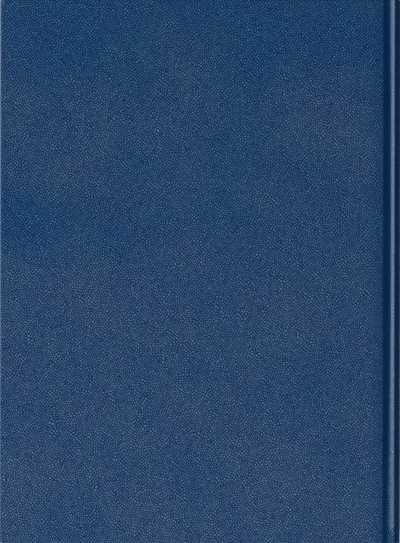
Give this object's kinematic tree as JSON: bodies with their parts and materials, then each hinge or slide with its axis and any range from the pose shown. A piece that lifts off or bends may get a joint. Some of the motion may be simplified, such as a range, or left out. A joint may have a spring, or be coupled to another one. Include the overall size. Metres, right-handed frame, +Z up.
{
  "type": "hardcover comic book",
  "caption": "Hard-bound comics volume: hinged boards in blue leather-grained covering, rounded spine with French joints, sewn page block, endpapers and headbands.",
  "frame": {"origin": "under the middle of the closed book, on the plane that its front cover rests on", "axes": "+Z up through the thickness to the back cover, +Y from tail to head, +X from fore-edge to spine"},
  "size_m": [0.2206, 0.3, 0.0222],
  "materials": {
    "grained_covering": "coated, leather-grained, satin",
    "greyboard": "matt",
    "spine_card": "matt",
    "endpaper": "uncoated",
    "mull": "open weave, starched",
    "pages": "trimmed edges",
    "kraft_lining": "machine-glazed kraft",
    "linen_thread": "waxed thread",
    "headband": "woven"
  },
  "bodies": {
    "book_block": {"text_block": "pages", "back_flyleaf": "endpaper", "front_flyleaf": "endpaper", "back_endpaper_joint": "endpaper", "front_endpaper_joint": "endpaper", "mull_spine": "mull", "mull_back_joint": "mull", "mull_front_joint": "mull", "spine_lining": "kraft_lining", "sewing_thread": "linen_thread", "head_band": "headband", "tail_band": "headband", "spine_inlay": "spine_card", "cover_cloth_spine": "grained_covering", "cover_cloth_back_joint": "grained_covering", "cover_cloth_front_joint": "grained_covering"},
    "back_cover": {"back_board": "greyboard", "cover_cloth_back": "grained_covering", "back_pastedown": "endpaper", "mull_back_flange": "mull"},
    "front_cover": {"front_board": "greyboard", "cover_cloth_front": "grained_covering", "front_pastedown": "endpaper", "mull_front_flange": "mull"}
  },
  "joints": [
    {"name": "back_cover_hinge", "type": "hinge", "parent": "book_block", "child": "back_cover", "pos_m": [0.10615, 0, 0.0201], "axis": [0, 1, 0], "range_deg": [0, 180], "deforming": ["cover_cloth_back_joint", "mull_back_joint", "back_endpaper_joint"]},
    {"name": "front_cover_hinge", "type": "hinge", "parent": "book_block", "child": "front_cover", "pos_m": [0.10615, 0, 0.0021], "axis": [0, -1, 0], "range_deg": [0, 180], "deforming": ["cover_cloth_front_joint", "mull_front_joint", "front_endpaper_joint"]}
  ]
}
